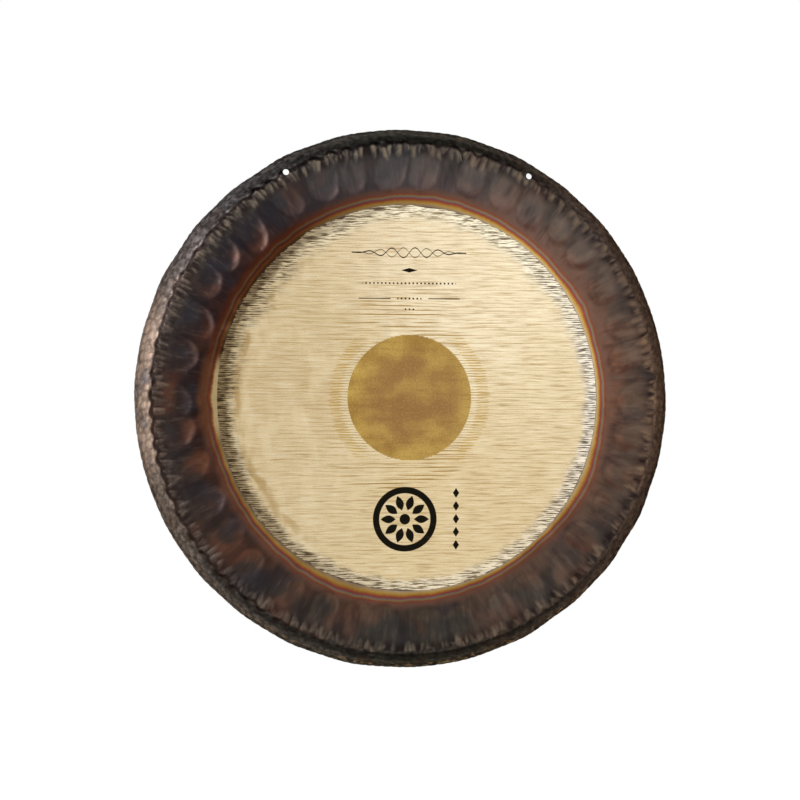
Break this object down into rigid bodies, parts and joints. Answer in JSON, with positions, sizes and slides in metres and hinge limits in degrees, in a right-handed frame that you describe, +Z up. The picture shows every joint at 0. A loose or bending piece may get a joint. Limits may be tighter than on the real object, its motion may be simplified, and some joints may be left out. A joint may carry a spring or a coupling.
{
  "type": "tam tam gong",
  "caption": "Large hanging tam tam gong: a hammered bronze disc with a turned-back rim, a bright brushed face and two hanging holes near the top edge.",
  "frame": {"origin": "midpoint between the centres of the two hanging holes, in the plane of the crease between face and rim", "axes": "+Z up as the gong hangs; the gong's axis is along Y, with the struck face looking towards -Y and the open back towards +Y"},
  "size_m": [0.71, 0.071, 0.71],
  "materials": {
    "bronze": "hammered sheet; brushed pale gold face with an olive matte centre, heat-tinted ring, near-black brown patina on the outer band and rim"
  },
  "bodies": {
    "root": {"gong": "bronze"}
  },
  "joints": []
}
